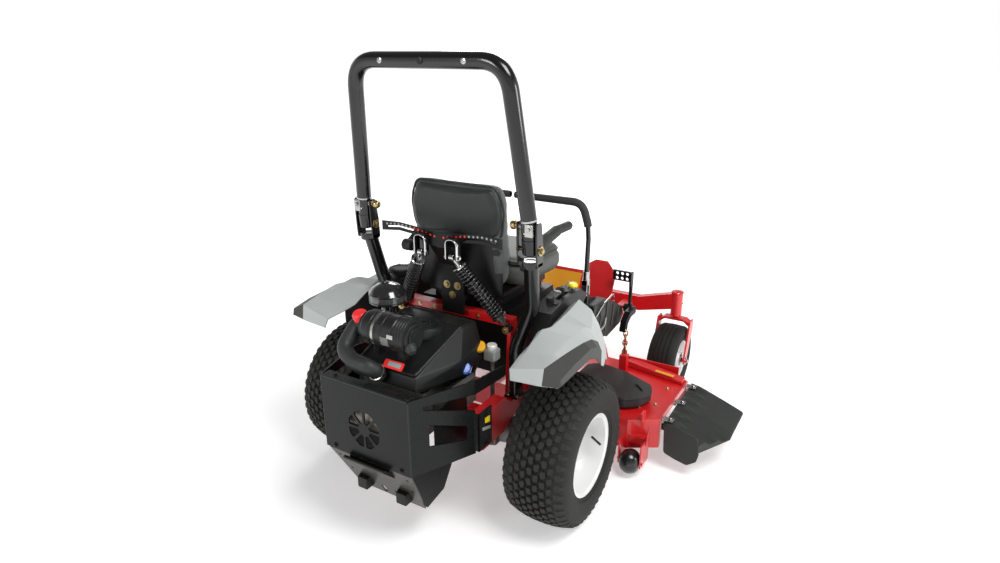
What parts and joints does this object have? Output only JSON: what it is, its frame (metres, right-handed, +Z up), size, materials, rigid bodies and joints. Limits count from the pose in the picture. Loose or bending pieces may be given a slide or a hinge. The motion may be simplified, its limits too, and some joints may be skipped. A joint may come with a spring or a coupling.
{
  "type": "zero turn mower",
  "caption": "Ride-on zero turn mower with a suspended operator platform, folding roll bar, lap bars, rear engine and a side discharge deck.",
  "frame": {"origin": "on the ground, under the middle of the box round the whole mower", "axes": "+X to the driver's left, +Y to the rear, +Z up"},
  "size_m": [1.828, 2.0506, 1.8138],
  "materials": {
    "frame_red": "glossy bright red powder coat",
    "guard_black": "satin black powder coat",
    "rops_black": "glossy black paint",
    "zinc_steel": "yellow zinc plate",
    "fender_grey": "fine matte texture",
    "console_black": "moulded, matte",
    "engine_cast": "die cast, grey",
    "engine_plastic": "moulded, matte",
    "precleaner_gloss": "smoked, glossy",
    "hose_rubber": "smooth",
    "muffler_steel": "heat darkened",
    "tyre_rubber": "new tread",
    "rim_white": "glossy white",
    "bracket_black": "satin black",
    "lever_black": "foam grip on black steel",
    "seat_shell": "moulded, matte",
    "seat_vinyl": "vinyl, fine grain",
    "armrest_pad": "soft moulded pad",
    "shock_black": "gloss black",
    "shock_chrome": "bright",
    "chute_rubber": "moulded, ribbed",
    "blade_steel": "ground edge",
    "knob_yellow": "moulded"
  },
  "bodies": {
    "chassis": {"frame": "frame_red", "front_axle": "frame_red", "engine_guard": "guard_black", "guard_foot": "guard_black", "rops_post_r": "rops_black", "rops_post_l": "rops_black", "fender_r": "fender_grey", "fender_l": "fender_grey", "console_r": "console_black", "fuel_tank": "console_black", "engine_block": "engine_cast", "engine_cover": "engine_plastic", "air_cleaner": "engine_plastic", "precleaner": "precleaner_gloss", "intake_hose": "hose_rubber", "muffler": "muffler_steel", "transaxle_r": "engine_cast", "transaxle_l": "engine_cast"},
    "rops_hoop": {"rops_hoop": "rops_black"},
    "rops_pin_r": {"rops_pin_r": "zinc_steel"},
    "rops_pin_l": {"rops_pin_l": "zinc_steel"},
    "fuel_cap": {"fuel_cap": "console_black"},
    "drive_wheel_r": {"tyre_r": "tyre_rubber", "rim_r": "rim_white"},
    "drive_wheel_l": {"tyre_l": "tyre_rubber", "rim_l": "rim_white"},
    "caster_fork_r": {"caster_fork_r": "frame_red"},
    "caster_fork_l": {"caster_fork_l": "frame_red"},
    "caster_wheel_r": {"caster_wheel_r": "tyre_rubber"},
    "caster_wheel_l": {"caster_wheel_l": "tyre_rubber"},
    "platform": {"platform_floor": "frame_red", "seat_tower": "bracket_black", "shock_bracket": "bracket_black"},
    "seat": {"seat_pan": "seat_shell", "seat_cushion": "seat_vinyl", "seat_back": "seat_vinyl"},
    "armrest_r": {"armrest_r": "armrest_pad"},
    "armrest_l": {"armrest_l": "armrest_pad"},
    "shock_body_r": {"shock_body_r": "shock_black", "shock_spring_r": "shock_black"},
    "shock_body_l": {"shock_body_l": "shock_black", "shock_spring_l": "shock_black"},
    "shock_rod_r": {"shock_rod_r": "shock_chrome"},
    "shock_rod_l": {"shock_rod_l": "shock_chrome"},
    "control_shaft_r": {"control_shaft_r": "bracket_black"},
    "control_shaft_l": {"control_shaft_l": "bracket_black"},
    "lap_bar_r": {"lap_bar_r": "lever_black"},
    "lap_bar_l": {"lap_bar_l": "lever_black"},
    "lift_pedal": {"lift_pedal": "bracket_black"},
    "deck": {"deck_shell": "frame_red", "belt_cover_r": "console_black", "belt_cover_l": "console_black"},
    "discharge_chute": {"discharge_chute": "chute_rubber"},
    "blade_c": {"blade_c": "blade_steel"},
    "blade_l": {"blade_l": "blade_steel"},
    "blade_r": {"blade_r": "blade_steel"},
    "roller_r": {"roller_r": "chute_rubber"},
    "roller_l": {"roller_l": "chute_rubber"},
    "pto_switch": {"pto_switch": "knob_yellow"},
    "throttle_lever": {"throttle_lever": "console_black"}
  },
  "joints": [
    {"name": "rops_fold", "type": "hinge", "parent": "chassis", "child": "rops_hoop", "pos_m": [0.144, 0.4883, 1.13], "axis": [1, 0, 0], "range_deg": [-100, 0]},
    {"name": "rops_pin_r_pull", "type": "slide", "parent": "chassis", "child": "rops_pin_r", "axis": [1, 0, 0], "range_m": [0, 0.03], "stiffness_N_per_m": 900, "springref_m": -0.004},
    {"name": "rops_pin_l_pull", "type": "slide", "parent": "chassis", "child": "rops_pin_l", "axis": [-1, 0, 0], "range_m": [0, 0.03], "stiffness_N_per_m": 900, "springref_m": -0.004},
    {"name": "fuel_cap_turn", "type": "hinge", "parent": "chassis", "child": "fuel_cap", "pos_m": [0.514, 0.3203, 0.875], "axis": [0, 0, 1], "continuous": true},
    {"name": "drive_wheel_r_spin", "type": "hinge", "parent": "chassis", "child": "drive_wheel_r", "pos_m": [-0.385, 0.4253, 0.305], "axis": [1, 0, 0], "continuous": true},
    {"name": "drive_wheel_l_spin", "type": "hinge", "parent": "chassis", "child": "drive_wheel_l", "pos_m": [0.673, 0.4253, 0.305], "axis": [1, 0, 0], "continuous": true},
    {"name": "caster_r_swivel", "type": "hinge", "parent": "chassis", "child": "caster_fork_r", "pos_m": [-0.416, -0.8977, 0.48], "axis": [0, 0, 1], "continuous": true},
    {"name": "caster_r_roll", "type": "hinge", "parent": "caster_fork_r", "child": "caster_wheel_r", "pos_m": [-0.416, -0.8377, 0.1905], "axis": [1, 0, 0], "continuous": true},
    {"name": "caster_l_swivel", "type": "hinge", "parent": "chassis", "child": "caster_fork_l", "pos_m": [0.704, -0.8977, 0.48], "axis": [0, 0, 1], "continuous": true},
    {"name": "caster_l_roll", "type": "hinge", "parent": "caster_fork_l", "child": "caster_wheel_l", "pos_m": [0.704, -0.8377, 0.1905], "axis": [1, 0, 0], "continuous": true},
    {"name": "platform_suspension", "type": "hinge", "parent": "chassis", "child": "platform", "pos_m": [0.144, -0.5747, 0.47], "axis": [1, 0, 0], "range_deg": [-2.1, 0], "stiffness_Nm_per_rad": 43000, "springref_deg": 0.96},
    {"name": "seat_slide", "type": "slide", "parent": "platform", "child": "seat", "axis": [0, 1, 0], "range_m": [-0.1, 0]},
    {"name": "armrest_r_flip", "type": "hinge", "parent": "seat", "child": "armrest_r", "pos_m": [-0.156, 0.3413, 1.01], "axis": [1, 0, 0], "range_deg": [-88, 0]},
    {"name": "armrest_l_flip", "type": "hinge", "parent": "seat", "child": "armrest_l", "pos_m": [0.444, 0.3413, 1.01], "axis": [1, 0, 0], "range_deg": [-88, 0]},
    {"name": "shock_r_swing", "type": "hinge", "parent": "chassis", "child": "shock_body_r", "pos_m": [-0.122, 0.4293, 0.766], "axis": [-0.7695, 0.5689, 0.2902], "range_deg": [0, 6.86]},
    {"name": "shock_r_stroke", "type": "slide", "parent": "shock_body_r", "child": "shock_rod_r", "axis": [0.5172, 0.2885, 0.8058], "range_m": [-0.028, 0], "deforming": ["shock_spring_r"]},
    {"name": "shock_l_swing", "type": "hinge", "parent": "chassis", "child": "shock_body_l", "pos_m": [0.41, 0.4293, 0.766], "axis": [-0.7695, -0.5689, -0.2902], "range_deg": [0, 6.86]},
    {"name": "shock_l_stroke", "type": "slide", "parent": "shock_body_l", "child": "shock_rod_l", "axis": [-0.5172, 0.2885, 0.8058], "range_m": [-0.028, 0], "deforming": ["shock_spring_l"]},
    {"name": "steering_r", "type": "hinge", "parent": "platform", "child": "control_shaft_r", "pos_m": [-0.236, -0.0547, 0.64], "axis": [1, 0, 0], "range_deg": [-12, 12]},
    {"name": "lap_bar_r_park", "type": "hinge", "parent": "control_shaft_r", "child": "lap_bar_r", "pos_m": [-0.236, -0.0547, 0.79], "axis": [0, 1, 0], "range_deg": [-30, 0]},
    {"name": "steering_l", "type": "hinge", "parent": "platform", "child": "control_shaft_l", "pos_m": [0.524, -0.0547, 0.64], "axis": [1, 0, 0], "range_deg": [-12, 12]},
    {"name": "lap_bar_l_park", "type": "hinge", "parent": "control_shaft_l", "child": "lap_bar_l", "pos_m": [0.524, -0.0547, 0.79], "axis": [0, 1, 0], "range_deg": [0, 30]},
    {"name": "deck_lift", "type": "slide", "parent": "chassis", "child": "deck", "axis": [0, 0, 1], "range_m": [0, 0.06]},
    {"name": "lift_pedal_press", "type": "hinge", "parent": "chassis", "child": "lift_pedal", "pos_m": [-0.261, -0.5597, 0.55], "axis": [1, 0, 0], "range_deg": [0, 29]},
    {"name": "chute_lift", "type": "hinge", "parent": "deck", "child": "discharge_chute", "pos_m": [-0.63, -0.2747, 0.238], "axis": [0, 1, 0], "range_deg": [0, 85]},
    {"name": "blade_c_spin", "type": "hinge", "parent": "deck", "child": "blade_c", "pos_m": [0.144, -0.4297, 0.1], "axis": [0, 0, 1], "continuous": true},
    {"name": "blade_l_spin", "type": "hinge", "parent": "deck", "child": "blade_l", "pos_m": [0.639, -0.2647, 0.1], "axis": [0, 0, 1], "continuous": true},
    {"name": "blade_r_spin", "type": "hinge", "parent": "deck", "child": "blade_r", "pos_m": [-0.351, -0.2647, 0.1], "axis": [0, 0, 1], "continuous": true},
    {"name": "roller_r_roll", "type": "hinge", "parent": "deck", "child": "roller_r", "pos_m": [-0.536, 0.0533, 0.072], "axis": [1, 0, 0], "continuous": true},
    {"name": "roller_l_roll", "type": "hinge", "parent": "deck", "child": "roller_l", "pos_m": [0.824, 0.0533, 0.072], "axis": [1, 0, 0], "continuous": true},
    {"name": "pto_pull", "type": "slide", "parent": "chassis", "child": "pto_switch", "axis": [0, 0, 1], "range_m": [0, 0.015]},
    {"name": "throttle_swing", "type": "hinge", "parent": "chassis", "child": "throttle_lever", "pos_m": [-0.25, 0.2103, 0.826], "axis": [1, 0, 0], "range_deg": [-25, 25]}
  ],
  "couplings": [
    {"joint": "shock_r_swing", "follows": "platform_suspension", "ratio": -2.9815},
    {"joint": "shock_r_stroke", "follows": "platform_suspension", "m_per_rad": 0.6823},
    {"joint": "shock_l_swing", "follows": "platform_suspension", "ratio": -2.9815},
    {"joint": "shock_l_stroke", "follows": "platform_suspension", "m_per_rad": 0.6823},
    {"joint": "lift_pedal_press", "follows": "deck_lift", "rad_per_m": 8.2},
    {"joint": "blade_l_spin", "follows": "blade_c_spin", "ratio": 1},
    {"joint": "blade_r_spin", "follows": "blade_c_spin", "ratio": 1}
  ]
}
